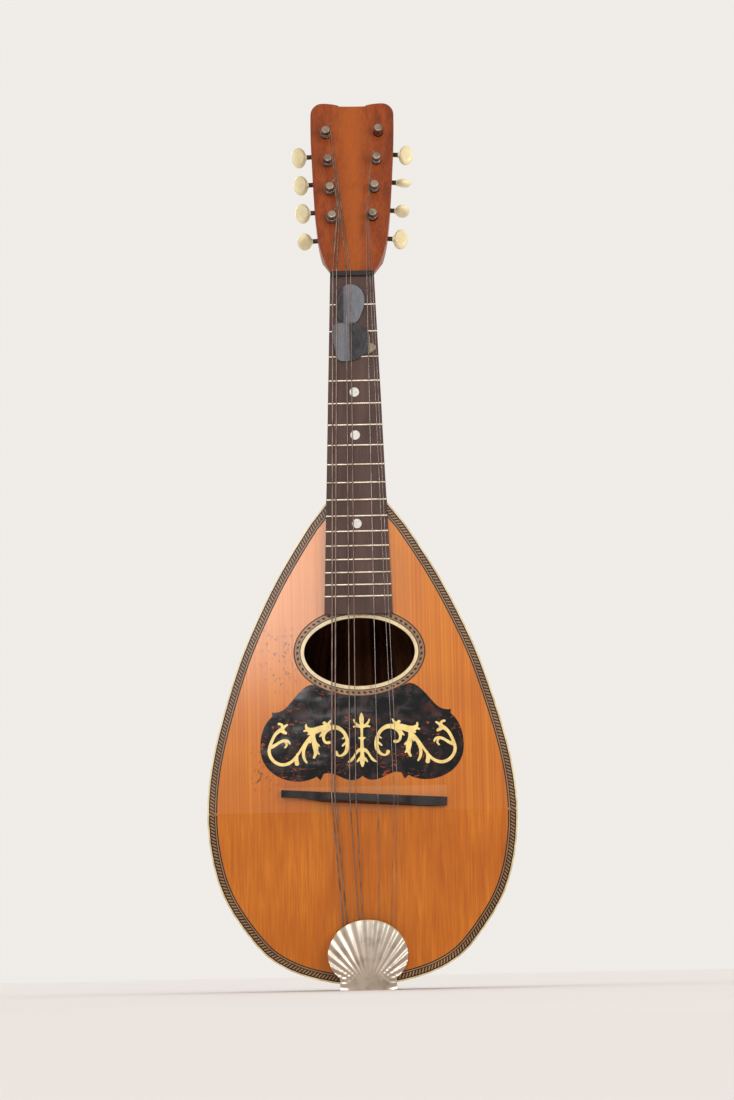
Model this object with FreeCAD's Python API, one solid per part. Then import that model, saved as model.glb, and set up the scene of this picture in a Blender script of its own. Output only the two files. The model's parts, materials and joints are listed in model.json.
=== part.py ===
import FreeCAD, Part
import math
import os
from collections import namedtuple
from FreeCAD import Matrix, Placement, Rotation, Vector

# Bowl-back mandolin, in millimetres.  The neck points up (+Z), the strings face -Y and +X is
# the treble side.  The origin is on the flat foot of the tailpiece cover, which is the lowest
# point of the instrument.  "Depth" always means distance behind the soundboard's front.

# ---------------------------------------------------------------- driving dimensions

# Scale and neck
scale_length = 330.0
nut_line_z = 452.5             # where the open strings leave the nut
nut_thickness = 3.1
fret_count = 17
marked_frets = (5, 7, 12)
marker_radius = 3.0
nut_half_width = 14.0
fretboard_end_z = 235.0
fretboard_end_half_width = 21.6
fretboard_thickness = 4.5
neck_depth_at_nut = 14.5
neck_depth_at_heel = 19.0

# Body
board_front_y = -15.0
tail_z = 3.0
cant_line_z = 111.0            # the soundboard is bent back from here to the tail
cant_depth = 15.0              # how far the tail end has dropped back
neck_joint_z = 306.5
soundboard_thickness = 2.8
rib_count = 15
rib_thickness = 2.2
clasp_top_z = 76.0
clasp_depth = 26.0
binding_width = 1.0
purfling_width = 5.3
purfling_depth = 1.2

# Height above the tail, half width of the body, depth of the bowl
body_stations = (
    (3.3, 8.0, 8.5), (6.0, 26.5, 27.0), (12.0, 45.5, 50.0), (21.0, 60.4, 70.0), (36.0, 73.8, 93.0),
    (58.0, 87.4, 117.0), (88.0, 95.7, 134.0), (111.0, 97.2, 139.0), (148.0, 92.9, 136.0),
    (178.0, 85.0, 126.0), (209.0, 74.8, 109.0), (239.0, 61.6, 87.0), (270.0, 45.0, 61.0),
    (292.8, 30.5, 39.0), (306.5, 19.6, 28.0))

# Soundhole, scratchplate and inlay
hole_z = 211.3
hole_half_axes = (35.0, 21.7)
hole_binding_width = 2.2
hole_purfling_width = 4.4
plate_centre_x = 0.5
plate_thickness = 1.0
plate_proud = 0.2
inlay_thickness = 0.6
inlay_proud = 0.1

# Bridge and strings
bridge_ends = ((-50.7, 122.0), (52.9, 115.8))
bridge_width = 6.5
bridge_top_width = 3.4
bridge_height = 11.4
string_y_at_nut = -21.7
string_y_at_bridge = -26.5
string_y_at_hook = -6.8
string_pass_height = 3.6       # above the headstock's face
string_end_height = 4.2
hook_z = 30.0

# Tailpiece
tailpiece_x = 1.7
skirt_z = tail_z - 1.2         # underside of the hook plate's skirt
cover_half_width = 25.0
cover_centre_z = 20.0
cover_top_z = 43.5
cover_foot_half_width = 17.7
cover_foot_top_z = 7.5
cover_foot_depth = 13.0
cover_sheet = 0.7
cover_edge_height = 6.6
cover_dome = 2.0
cover_rib_height = 0.6
cover_rib_angle = math.radians(10.0)   # from one rib to the next
cover_fan_z = 1.5              # where the ribs would meet
hook_group_x = (-11.5, -1.9, 7.7, 17.3)
hook_pair_spacing = 2.4

# Headstock, in its own frame: x across, s up its face, n out of its front
head_tilt = 14.0
head_lean = 0.75
head_origin = Vector(0.35, -18.5, 455.6)
head_thickness = 12.5
head_foot_half_width = 14.1

# Tuning machines: each strip carries four in a line
first_post = (13.05, 38.3)
strip_lift = {"left": 0.0, "right": 1.3}   # the treble strip sits a little higher
post_pitch = 20.75
strip_splay = 3.73
post_radius = 2.75
post_hole_radius = 3.2
post_tip = 7.5
journal_radius = 1.9
running_clearance = 0.05
strip_plate_thickness = 1.0
worm_pitch = 2.0
gear_teeth = 14
worm_pitch_radius = 2.1
worm_depth = 16.5              # worm axis behind the headstock's face
button_distance = 18.5         # post axis to button centre
button_half_axes = (4.8, 7.1, 3.2)
button_thickness = 4.8
button_turns = {"left": (72.0, 0.0, 0.0, 10.0), "right": (0.0, 92.0, 112.0, 0.0)}

gear_pitch_radius = gear_teeth * worm_pitch / (2 * math.pi)
worm_offset = gear_pitch_radius + worm_pitch_radius

parts = {}


# ---------------------------------------------------------------- helpers

def export(name, *solids):
    """Write one node; several solids make a group of separate pieces."""
    shape = solids[0] if len(solids) == 1 else Part.makeCompound(list(solids))
    parts[name] = shape
    shape.exportStep(os.path.join("parts", name + ".step"))


def front(x, z):
    """A point of a front-view outline."""
    return Vector(x, 0, z)


def spline(points, start=None, end=None):
    curve = Part.BSplineCurve()
    if start and end:
        curve.interpolate(Points=points, InitialTangent=start, FinalTangent=end)
    else:
        curve.interpolate(Points=points)
    return curve.toShape()


def moved_sideways(points, start, end, distance):
    """The points of a front-view spline, each moved to the left of its direction of travel."""
    curve = Part.BSplineCurve()
    curve.interpolate(Points=points, InitialTangent=start, FinalTangent=end)
    moved = []
    for point in points:
        along = Vector(*curve.tangent(curve.parameter(point))[0])
        moved.append(point + Vector(-along.z, 0, along.x) * distance)
    return moved


def mirrored(points):
    return [Vector(-p.x, p.y, p.z) for p in reversed(points)]


def prism(face, y_front, y_back):
    """Extrude a front-view face from y_front to y_back."""
    moved = face.copy()
    moved.translate(Vector(0, y_front, 0))
    return moved.extrude(Vector(0, y_back - y_front, 0))


def box(x, y, z):
    """Box from three (low, high) pairs."""
    corner = Vector(x[0], y[0], z[0])
    return Part.makeBox(x[1] - x[0], y[1] - y[0], z[1] - z[0], corner)


def rod(radius, start, end):
    return Part.makeCylinder(radius, (end - start).Length, start, end - start)


def ellipse_face(half_x, half_z, x=0.0, z=0.0):
    centre = Vector(x, 0, z)
    curve = Part.Ellipse(centre + Vector(half_x, 0, 0), centre + Vector(0, 0, half_z), centre)
    return Part.Face(Part.Wire(curve.toShape()))


def board_y(z):
    """Y of the soundboard's front surface."""
    if z >= cant_line_z:
        return board_front_y
    return board_front_y + cant_depth * (cant_line_z - z) / (cant_line_z - tail_z)


def board_layer(depth_from, depth_to):
    """Folded slab between two depths behind the soundboard's front surface."""
    heights = (-30.0, cant_line_z, 330.0)
    near = [Vector(-120, board_y(z) + depth_from, z) for z in heights]
    far = [Vector(-120, board_y(z) + depth_to, z) for z in reversed(heights)]
    return Part.Face(Part.makePolygon(near + far + near[:1])).extrude(Vector(240, 0, 0))


def fret_z(number):
    return nut_line_z - scale_length * (1 - 2 ** (-number / 12))


def fretboard_half_width(z):
    nut_end_z = nut_line_z + nut_thickness
    share = (nut_end_z - z) / (nut_end_z - fretboard_end_z)
    return nut_half_width + share * (fretboard_end_half_width - nut_half_width)


def head_point(x, s, n):
    """A point of the headstock's frame in the instrument's frame."""
    return head_matrix().multVec(Vector(x, s, n))


def head_matrix():
    tilt = Rotation(Vector(1, 0, 0), 90 - head_tilt)
    lean = Rotation(Vector(0, 0, 1), -head_lean)
    return Placement(head_origin, tilt.multiply(lean)).toMatrix()


def to_head(shape):
    """Move a shape built in the headstock's frame into the instrument's frame."""
    return shape.transformed(head_matrix())


# ---------------------------------------------------------------- body outline

def rim_points():
    return [front(w, z) for z, w, depth in body_stations]


def body_face(inset=0.0):
    """Front view of the body, or the same outline moved inwards."""
    right = [front(0, tail_z)] + rim_points()
    along = front(1, 0)
    neck_corner = right[-1] - right[-2]
    moved = moved_sideways(right, along, neck_corner, inset)
    right_edge = spline(moved, along, neck_corner)
    left_edge = right_edge.mirror(Vector(0, 0, 0), Vector(1, 0, 0))
    top_edge = Part.makeLine(moved[-1], mirrored(moved)[0])
    return Part.Face(Part.Wire(Part.__sortEdges__([right_edge, top_edge, left_edge])))


def hole_face(grow=0.0):
    return ellipse_face(hole_half_axes[0] + grow, hole_half_axes[1] + grow, 0, hole_z)


# ---------------------------------------------------------------- bowl

def meridian(angle, offset):
    """Edge along the bowl at one angle round it, moved inwards by offset."""
    cos_a = math.cos(angle)
    sin_a = math.sin(angle)
    surface = []
    for z, w, d in body_stations:
        y = board_y(z) + soundboard_thickness + (d - soundboard_thickness) * sin_a
        surface.append(Vector(w * cos_a, y, z))
    curve = Part.BSplineCurve()
    curve.interpolate(Points=surface)
    points = []
    for point, (z, w, d) in zip(surface, body_stations):
        along = Vector(*curve.tangent(curve.parameter(point))[0])
        around = Vector(-w * sin_a, d * cos_a, 0)
        outward = around.cross(along).normalize()
        points.append(point - outward * offset)
    return spline(points)


def rib(number):
    """One stave: flat across its width, curved along its length."""
    step = math.pi / rib_count
    angles = (number * step, (number + 1) * step)
    outer = [meridian(a, 0.0) for a in angles]
    inner = [meridian(a, rib_thickness) for a in angles]
    faces = [Part.makeRuledSurface(outer[0], outer[1]), Part.makeRuledSurface(inner[0], inner[1]),
             Part.makeRuledSurface(outer[0], inner[0]), Part.makeRuledSurface(outer[1], inner[1])]
    for end in (0, -1):
        corners = [edge.Vertexes[end].Point for edge in (outer[0], outer[1], inner[1], inner[0])]
        faces.append(Part.makeRuledSurface(Part.makeLine(corners[0], corners[1]),
                                           Part.makeLine(corners[3], corners[2])))
    shell = Part.makeShell(faces)
    shell.sewShape()
    solid = Part.makeSolid(shell)
    if solid.Volume < 0:
        solid.reverse()
    return solid


def tail_clasp():
    """Strip bent round the tail over the rib ends, tapering towards its own ends."""
    ring = prism(body_face().cut(body_face(1.2)), -20, 40)
    taper = [Vector(-120, board_y(-10) + soundboard_thickness, -10), Vector(-120, clasp_depth, -10),
             Vector(-120, clasp_depth, tail_z), Vector(-120, board_y(clasp_top_z) + 8, clasp_top_z),
             Vector(-120, board_y(clasp_top_z) + soundboard_thickness, clasp_top_z)]
    side = Part.Face(Part.makePolygon(taper + taper[:1])).extrude(Vector(240, 0, 0))
    return ring.common(side).Solids[0]


def make_bowl(screws):
    clasp = tail_clasp()
    export("tail_clasp", clasp.cut(screws).Solids[0])
    cutters = Part.makeCompound([clasp, board_layer(-20, soundboard_thickness), screws])
    ribs = []
    for number in range(rib_count):
        pieces = rib(number).cut(cutters).Solids
        ribs.append(max(pieces, key=lambda piece: piece.Volume))
    export("bowl_ribs", *ribs)


# ---------------------------------------------------------------- soundboard and its trim

def plate_face():
    """Scratchplate outline: shoulder, point, lobe, nib and scalloped foot, mirrored."""
    shoulder = [front(26.5, 189.5), front(32.0, 190.8), front(38.5, 186.6), front(43.3, 181.2),
                front(48.0, 176.2), front(56.3, 174.0)]
    lobe = [front(56.0, 171.5), front(60.6, 166.0), front(63.6, 156.0), front(62.8, 145.0),
            front(57.5, 136.8), front(49.5, 132.0), front(41.0, 130.3), front(28.8, 133.2)]
    foot = [front(24.4, 134.8), front(19.0, 134.9), front(11.0, 131.5), front(6.0, 130.6),
            front(0, 133.2)]
    nib = front(26.4, 130.8)
    half = [Part.makeLine(front(0, 189.5), shoulder[0]), spline(shoulder),
            Part.makeLine(shoulder[-1], lobe[0]), spline(lobe),
            Part.makeLine(lobe[-1], nib), Part.makeLine(nib, foot[0]), spline(foot)]
    other = [edge.mirror(Vector(0, 0, 0), Vector(1, 0, 0)) for edge in half]
    face = Part.Face(Part.Wire(Part.__sortEdges__(half + other)))
    face.translate(Vector(plate_centre_x, 0, 0))
    return face.cut(hole_face(hole_binding_width + hole_purfling_width)).Faces[0]


def stroke(points):
    """Tapered ribbon along (x, z, width) points, with round ends, as a front-view face."""
    centres = [front(x, z) for x, z, width in points]
    path = Part.BSplineCurve()
    path.interpolate(Points=centres)
    sides = ([], [])
    for centre, (x, z, width) in zip(centres, points):
        along = Vector(*path.tangent(path.parameter(centre))[0])
        across = Vector(-along.z, 0, along.x) * (width / 2)
        sides[0].append(centre + across)
        sides[1].append(centre - across)
    caps = []
    for end, sign in ((0, -1), (-1, 1)):
        along = Vector(*path.tangent(path.parameter(centres[end]))[0])
        tip = centres[end] + along * (sign * points[end][2] / 2)
        caps.append(Part.Arc(sides[0][end], tip, sides[1][end]).toShape())
    edges = [spline(sides[0]), spline(sides[1])] + caps
    return Part.Face(Part.Wire(Part.__sortEdges__(edges)))


# Scroll inlay of the treble side: (x, z, width) along each tapered stroke
scroll_strokes = (
    # open C scroll with its curled ends
    ((20.6, 154.4, 2.0), (23.2, 154.9, 1.6), (24.2, 158.0, 1.9), (22.2, 162.4, 3.2), (17.0, 164.0, 2.8),
     (12.0, 161.4, 2.2), (9.5, 156.6, 2.3), (9.1, 152.0, 2.6), (10.8, 147.6, 2.0), (14.4, 146.0, 1.3),
     (16.3, 147.9, 2.4)),
    ((10.0, 158.2, 1.0), (12.0, 156.7, 1.0)),
    ((10.3, 154.0, 1.4), (12.2, 152.2, 1.1)),
    # leaves along the top
    ((21.6, 164.0, 3.0), (20.6, 166.4, 1.8), (19.4, 168.3, 0.9)),
    ((21.6, 164.6, 2.4), (23.4, 166.7, 2.2)),
    ((22.0, 163.0, 3.6), (26.5, 163.0, 3.8), (31.0, 161.8, 4.2), (34.8, 164.4, 1.7), (34.9, 165.8, 1.0)),
    ((31.0, 162.0, 3.0), (34.0, 162.4, 1.8), (36.2, 161.9, 1.1)),
    ((23.0, 162.6, 2.6), (25.0, 159.8, 1.8), (26.3, 158.4, 1.0)),
    ((31.2, 161.0, 2.6), (33.4, 160.0, 1.3)),
    # hanging leaves
    ((30.2, 161.4, 3.2), (30.4, 157.0, 2.6), (29.3, 152.0, 3.6), (29.2, 148.0, 2.2), (30.3, 145.2, 1.5)),
    ((29.0, 154.0, 2.0), (26.9, 152.5, 1.1)),
    ((28.8, 149.5, 2.0), (27.2, 147.4, 1.1)),
    ((31.5, 158.4, 2.6), (34.6, 154.4, 1.9), (36.7, 149.4, 2.0), (36.6, 145.4, 1.8), (35.0, 142.2, 1.2)),
    ((31.8, 157.6, 2.2), (32.6, 154.8, 1.4)),
    # long stem into the big outer scroll
    ((32.0, 158.2, 2.2), (36.5, 153.0, 1.5), (40.8, 146.6, 1.6), (45.0, 142.4, 1.9), (50.5, 141.0, 2.0),
     (55.5, 143.4, 2.0), (58.3, 148.6, 2.0), (56.8, 155.4, 1.9), (54.2, 160.2, 2.0), (50.0, 163.2, 2.8)),
    ((40.6, 147.4, 1.4), (41.2, 144.4, 2.2), (41.0, 141.6, 2.8)),
    ((51.0, 162.8, 2.6), (49.0, 161.6, 2.2), (47.8, 160.9, 1.8)),
    ((50.2, 163.0, 2.4), (48.6, 164.8, 1.7), (46.8, 166.0, 1.1)),
    ((50.4, 163.2, 2.2), (50.2, 166.0, 1.7), (52.0, 166.7, 1.5)),
    # tendril curling inside it
    ((57.6, 152.2, 2.4), (53.6, 153.9, 1.8), (49.8, 155.9, 1.8), (46.8, 155.8, 1.8), (45.4, 154.2, 1.2)),
    ((48.2, 155.4, 1.4), (47.4, 153.0, 1.2), (48.4, 151.8, 1.0)),
)

# Middle stem: the strokes on the axis, then one side of those that come in pairs
stem_strokes = (
    ((0, 172.2, 1.0), (0, 169.0, 2.9), (0, 165.0, 2.2), (0, 160.0, 1.5), (0, 158.0, 1.6)),
    ((0, 158.0, 1.8), (0, 154.0, 2.0), (0, 150.0, 2.2)),
    ((0, 150.6, 2.6), (0, 147.0, 2.4), (0, 142.5, 3.0), (0, 139.4, 1.4)),
)
stem_side_strokes = (
    ((0.4, 164.2, 1.8), (3.4, 165.8, 1.5), (4.8, 168.4, 1.0)),
    ((0.6, 163.8, 1.6), (3.0, 164.4, 1.5), (5.0, 164.0, 1.0)),
    ((0.2, 156.4, 2.2), (2.0, 157.1, 0.7)),
    ((0.4, 149.4, 2.4), (2.6, 148.8, 2.0), (5.0, 145.4, 1.4), (7.2, 142.8, 1.6), (8.6, 142.0, 0.9)),
    ((0.4, 144.6, 2.2), (2.0, 143.4, 1.8), (3.2, 142.0, 0.9)),
)


def inlay_faces():
    """The inlay as three joined front-view shapes: middle stem and a scroll on each side."""
    flip = (Vector(0, 0, 0), Vector(1, 0, 0))
    scroll = [stroke(points) for points in scroll_strokes]
    side = [stroke(points) for points in stem_side_strokes]
    stem = [stroke(points) for points in stem_strokes] + side + [face.mirror(*flip) for face in side]
    return scroll, [face.mirror(*flip) for face in scroll], stem


def joined_prism(faces, y_front, y_back):
    solids = [prism(face, y_front, y_back) for face in faces]
    joined = solids[0].multiFuse(solids[1:]).removeSplitter()
    joined.translate(Vector(plate_centre_x, 0, 0))
    return joined.Solids


def make_soundboard():
    full = prism(body_face(), -40, 40)
    inner_edge = prism(body_face(binding_width), -40, 40)
    purfling_edge = prism(body_face(binding_width + purfling_width), -40, 40)
    trim_layer = board_layer(0, purfling_depth)
    edge_binding = full.cut(inner_edge).common(trim_layer).Solids
    edge_purfling = inner_edge.cut(purfling_edge).common(trim_layer).Solids

    opening = prism(hole_face(), -40, 40)
    ring_1 = prism(hole_face(hole_binding_width), -40, 40)
    ring_2 = prism(hole_face(hole_binding_width + hole_purfling_width), -40, 40)
    hole_binding = ring_1.cut(opening).common(board_layer(0, soundboard_thickness)).Solids
    hole_purfling = ring_2.cut(ring_1).common(trim_layer).Solids

    plate_front = board_front_y - plate_proud
    plate = prism(plate_face(), plate_front, plate_front + plate_thickness)
    inlay_front = plate_front - inlay_proud
    inlay = []
    for faces in inlay_faces():
        inlay += joined_prism(faces, inlay_front, inlay_front + inlay_thickness)
    pockets = Part.makeCompound(inlay)

    board = full.cut(ring_1).common(board_layer(0, soundboard_thickness))
    board = board.cut(Part.makeCompound(edge_binding + edge_purfling + hole_purfling + [plate]))
    export("soundboard", max(board.Solids, key=lambda piece: piece.Volume))
    export("bindings", *(edge_binding + hole_binding))
    export("purflings", *(edge_purfling + hole_purfling))
    export("scratchplate", max(plate.cut(pockets).Solids, key=lambda piece: piece.Volume))
    export("scroll_inlay", *inlay)


# ---------------------------------------------------------------- inside the body

def make_inside(screws):
    inner_face = body_face(3.6)
    lining_ring = prism(inner_face.cut(body_face(8.0)), -40, 40)
    lining_layer = board_layer(soundboard_thickness, soundboard_thickness + 6.0)
    neck_block = box((-13, 13), (board_front_y + soundboard_thickness, 3), (284, 301))
    tail_block = box((-24, 24), (board_y(11) + soundboard_thickness, 22), (11, 26))
    blocks = Part.makeCompound([neck_block, tail_block])
    export("end_blocks", neck_block, tail_block.cut(screws).Solids[0])
    linings = lining_ring.common(lining_layer).cut(blocks)
    away_from_ends = box((-120, 120), (-40, 60), (20, 288))
    export("linings", *linings.common(away_from_ends).Solids)

    braces = []
    for z, half_length in ((250.0, 44.0), (176.0, 74.0), (88.0, 82.0)):
        y = board_y(z + 3) + soundboard_thickness
        profile = [Vector(-half_length, y, z - 3), Vector(half_length, y, z - 3),
                   Vector(half_length, y + 4, z - 3), Vector(half_length - 16, y + 11, z - 3),
                   Vector(16 - half_length, y + 11, z - 3), Vector(-half_length, y + 4, z - 3)]
        brace = Part.Face(Part.makePolygon(profile + profile[:1])).extrude(Vector(0, 0, 6))
        braces.append(brace.cut(board_layer(-20, soundboard_thickness)).Solids[0])
    export("braces", *braces)


# ---------------------------------------------------------------- neck and fretboard

def neck_section(z, half_width, depth):
    """D-shaped slice of the neck: flat to the fretboard, round to the hand."""
    left = Vector(-half_width, board_front_y, z)
    right = Vector(half_width, board_front_y, z)
    centre = Vector(0, board_front_y, z)
    if depth >= half_width:
        ellipse = Part.Ellipse(centre + Vector(0, depth, 0), right, centre)
    else:
        ellipse = Part.Ellipse(right, centre + Vector(0, depth, 0), centre)
    slab = box((-60, 60), (board_front_y, board_front_y + 60), (z - 1, z + 1))
    arc = ellipse.toShape().common(slab).Edges
    return Part.Wire(Part.__sortEdges__(arc + [Part.makeLine(left, right)]))


def make_neck():
    nut_end_z = nut_line_z + nut_thickness
    heel_depth = body_stations[-1][2] - 0.5
    top = neck_section(nut_end_z, nut_half_width, neck_depth_at_nut)
    shaft = Part.makeLoft([
        neck_section(neck_joint_z, 19.4, heel_depth),
        neck_section(322, 18.4, neck_depth_at_heel + 2),
        neck_section(345, fretboard_half_width(345) - 0.1, neck_depth_at_heel),
        neck_section(400, fretboard_half_width(400) - 0.1, 16.5),
        top], True, False)
    tongue = Part.makeLoft([
        top,
        neck_section(nut_end_z + 12, 11.0, 15.5),
        neck_section(nut_end_z + 26, 5.0, 16.0)], True)
    above_face = to_head(box((-60, 60), (-30, 60), (-head_thickness, 60)))
    tongue = tongue.cut(above_face)
    export("neck", shaft.fuse(tongue).removeSplitter().Solids[0])


def fret(number):
    """Round-topped fret wire with its tang in the board."""
    top_y = board_front_y - fretboard_thickness
    z = fret_z(number)
    half = fretboard_half_width(z) - 0.2
    crown = Part.Arc(Vector(-half, top_y, z - 0.6), Vector(-half, top_y - 0.9, z),
                     Vector(-half, top_y, z + 0.6))
    tang = [Vector(-half, top_y + depth, z + side)
            for depth, side in ((0, 0.6), (0, 0.25), (1.5, 0.25), (1.5, -0.25), (0, -0.25), (0, -0.6))]
    wire = Part.Wire([crown.toShape()] + Part.makePolygon(tang).Edges)
    return Part.Face(wire).extrude(Vector(2 * half, 0, 0))


def make_fretboard():
    end = fretboard_end_half_width
    top = fretboard_half_width(nut_line_z)
    corners = [front(-end, fretboard_end_z), front(end, fretboard_end_z),
               front(top, nut_line_z), front(-top, nut_line_z)]
    top_y = board_front_y - fretboard_thickness
    board = prism(Part.Face(Part.makePolygon(corners + corners[:1])), top_y, board_front_y)
    frets = [fret(number) for number in range(1, fret_count + 1)]
    markers = []
    for number in marked_frets:
        middle = (fret_z(number) + fret_z(number - 1)) / 2
        markers.append(rod(marker_radius, Vector(0, top_y - 0.02, middle), Vector(0, top_y + 1.5, middle)))
    export("fretboard", board.cut(Part.makeCompound(frets + markers)).Solids[0])
    export("frets", *frets)
    export("fret_markers", *markers)


def make_nut():
    """Dark bar with a round-bottomed slot for every string."""
    nut_end_z = nut_line_z + nut_thickness
    width = (-nut_half_width, nut_half_width)
    nut = box(width, (string_y_at_nut - 0.5, board_front_y), (nut_line_z, nut_end_z))
    low = nut_line_z - 5
    high = nut_end_z + 5
    for string in all_strings():
        x = string.x_nut
        reach = string.radius + 0.1
        slot = rod(reach, Vector(x, string_y_at_nut, low), Vector(x, string_y_at_nut, high))
        mouth = box((x - reach, x + reach), (string_y_at_nut - 3, string_y_at_nut), (low, high))
        nut = nut.cut(slot).cut(mouth)
    export("nut", nut.Solids[0])


# ---------------------------------------------------------------- headstock and tuning machines

def head_outline():
    """Headstock in its own frame: flared sides, rounded ears and a dipped top."""
    side = [Vector(x, s, 0) for x, s in (
        (head_foot_half_width, 0), (17.6, 7), (20.5, 16), (23.0, 31), (24.8, 52), (26.1, 76), (27.1, 100),
        (27.2, 113))]
    ear = [side[-1]] + [Vector(x, s, 0) for x, s in (
        (25.9, 120.0), (22.6, 123.1), (18.5, 123.8), (9.0, 122.2), (0, 121.5))]
    half = [spline(side), spline(ear, Vector(0, 1, 0), Vector(-1, 0, 0))]
    other = [edge.mirror(Vector(0, 0, 0), Vector(1, 0, 0)) for edge in half]
    foot = Part.makeLine(side[0], Vector(-side[0].x, 0, 0))
    return Part.Face(Part.Wire(Part.__sortEdges__(half + other + [foot])))


def to_head_frame(shape, side, station=0):
    """Place a shape built round one post of a tuning strip (x outwards, y along the posts)."""
    moved = shape.copy()
    moved.translate(Vector(0, station * post_pitch, 0))
    foot = Vector(first_post[0], first_post[1] + strip_lift[side], 0)
    placed = moved.transformed(Placement(foot, Rotation(Vector(0, 0, 1), -strip_splay)).toMatrix())
    if side == "left":
        return placed.mirror(Vector(0, 0, 0), Vector(1, 0, 0))
    return placed


def to_instrument(shape, side, station=0):
    return to_head(to_head_frame(shape, side, station))


def worm_thread():
    """Trapezoidal screw thread along Z with a crest on +X at Z = 0."""
    turns = 4
    height = turns * worm_pitch
    root = worm_pitch_radius - 0.8
    tip = worm_pitch_radius + 0.5
    helix = Part.makeHelix(worm_pitch, height, worm_pitch_radius)
    profile = Part.makePolygon([Vector(root, 0, -0.5), Vector(tip, 0, -0.22), Vector(tip, 0, 0.22),
                                Vector(root, 0, 0.5), Vector(root, 0, -0.5)])
    thread = Part.Wire(helix).makePipeShell([profile], True, True)
    thread.translate(Vector(0, 0, -height / 2))
    return thread.fuse(Part.makeCylinder(1.4, 11.0, Vector(0, 0, -5.5)))


def along_x(shape):
    """Turn a shape built along Z to lie along X, with its X side facing +Y."""
    swap = Matrix(0, 0, 1, 0, 1, 0, 0, 0, 0, 1, 0, 0, 0, 0, 0, 1)
    return shape.transformed(swap)


def worm_shaft():
    worm = along_x(worm_thread().Solids[0])
    inner = rod(1.5, Vector(-9.0, 0, 0), Vector(-5.0, 0, 0))
    outer = rod(1.5, Vector(5.0, 0, 0), Vector(button_distance + 1.0, 0, 0))
    collar = rod(2.4, Vector(7.2, 0, 0), Vector(8.4, 0, 0))
    shaft = worm.multiFuse([inner, outer, collar]).Solids[0]
    shaft.translate(Vector(0, -worm_offset, -worm_depth))
    return shaft


def button(turn):
    """Oval button, flattened on both faces, with a collar towards the headstock."""
    stretch = Matrix()
    stretch.scale(Vector(*button_half_axes))
    oval = Part.makeSphere(1.0).transformGeometry(stretch)
    half = button_thickness / 2
    oval = oval.common(box((-10, 10), (-10, 10), (-half, half)))
    neck = Part.makeCone(1.9, 2.3, 2.2, Vector(-button_half_axes[0] - 0.4, 0, 0), Vector(1, 0, 0))
    bore = rod(1.5, Vector(-12, 0, 0), Vector(1.0, 0, 0))
    shape = oval.fuse(neck).cut(bore).Solids[0]
    shape.rotate(Vector(0, 0, 0), Vector(1, 0, 0), turn)
    shape.translate(Vector(button_distance, -worm_offset, -worm_depth))
    return shape


def post():
    tip = rod(post_radius, Vector(0, 0, -head_thickness + 0.1), Vector(0, 0, post_tip))
    tip = tip.makeFillet(0.9, [edge for edge in tip.Edges if abs(edge.CenterOfMass.z - post_tip) < 0.01
                               and edge.Length > 10])
    journal = rod(journal_radius, Vector(0, 0, -18.2), Vector(0, 0, -head_thickness + 0.1))
    string_hole = rod(0.6, Vector(0, -5, 4.6), Vector(0, 5, 4.6))
    screw_hole = rod(1.0, Vector(0, 0, -18.2), Vector(0, 0, -14.0))
    return tip.fuse(journal).cut(string_hole).cut(screw_hole).Solids[0]


def gear():
    """Worm wheel with slots slanted along the worm's lead, a hub and its fixing screw."""
    low = -worm_depth - 1.5
    wheel = Part.makeCylinder(gear_pitch_radius + 0.5, 3.0, Vector(0, 0, low))
    slope = worm_pitch / (2 * math.pi * worm_pitch_radius)
    root = -(gear_pitch_radius - 0.78)
    tip = -(gear_pitch_radius + 1.0)
    reach = 2.0
    shift = slope * reach
    z = -worm_depth - reach
    section = [Vector(-0.5 - shift, root, z), Vector(0.5 - shift, root, z), Vector(0.95 - shift, tip, z),
               Vector(-0.95 - shift, tip, z)]
    slot = Part.Face(Part.makePolygon(section + section[:1])).extrude(Vector(2 * shift, 0, 2 * reach))
    slots = []
    for tooth in range(gear_teeth):
        turned = slot.copy()
        turned.rotate(Vector(0, 0, 0), Vector(0, 0, 1), tooth * 360.0 / gear_teeth)
        slots.append(turned)
    hub_end = -head_thickness - strip_plate_thickness - 0.1
    hub = rod(3.0, Vector(0, 0, low + 3.0), Vector(0, 0, hub_end))
    bore = rod(journal_radius, Vector(0, 0, -25), Vector(0, 0, -10))
    wheel = wheel.cut(Part.makeCompound(slots)).fuse(hub).cut(bore).Solids[0]
    head = rod(2.5, Vector(0, 0, -19.5), Vector(0, 0, -18.2))
    shank = rod(1.0, Vector(0, 0, -18.2), Vector(0, 0, -14.2))
    slit = box((-3, 3), (-0.35, 0.35), (-19.6, -19.0))
    return Part.makeCompound([wheel, head.fuse(shank).cut(slit).Solids[0]])


strip_screw_stations = (-11.0, 0.5 * post_pitch, 1.5 * post_pitch, 2.5 * post_pitch, 3 * post_pitch + 8.5)


def strip_plate():
    """Plate of one tuning strip, with two bearing lugs for each worm."""
    back = -head_thickness
    rear = back - strip_plate_thickness
    last = 3 * post_pitch
    plate = box((-7.8, 7.8), (-14.0, last + 11.5), (rear, back))
    for station in range(4):
        y = station * post_pitch
        worm_y = y - worm_offset
        for x in (-7.0, 5.2):
            lug = box((x, x + 1.8), (worm_y - 2.6, worm_y + 2.6), (-worm_depth - 2.6, rear))
            plate = plate.fuse(lug)
        bearing = rod(1.5 + running_clearance, Vector(-12, worm_y, -worm_depth), Vector(12, worm_y, -worm_depth))
        hole = rod(journal_radius + running_clearance, Vector(0, y, -20), Vector(0, y, 0))
        plate = plate.cut(bearing).cut(hole)
    for y in strip_screw_stations:
        plate = plate.cut(rod(1.1, Vector(0, y, -20), Vector(0, y, 0)))
    return plate.Solids[0]


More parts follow.
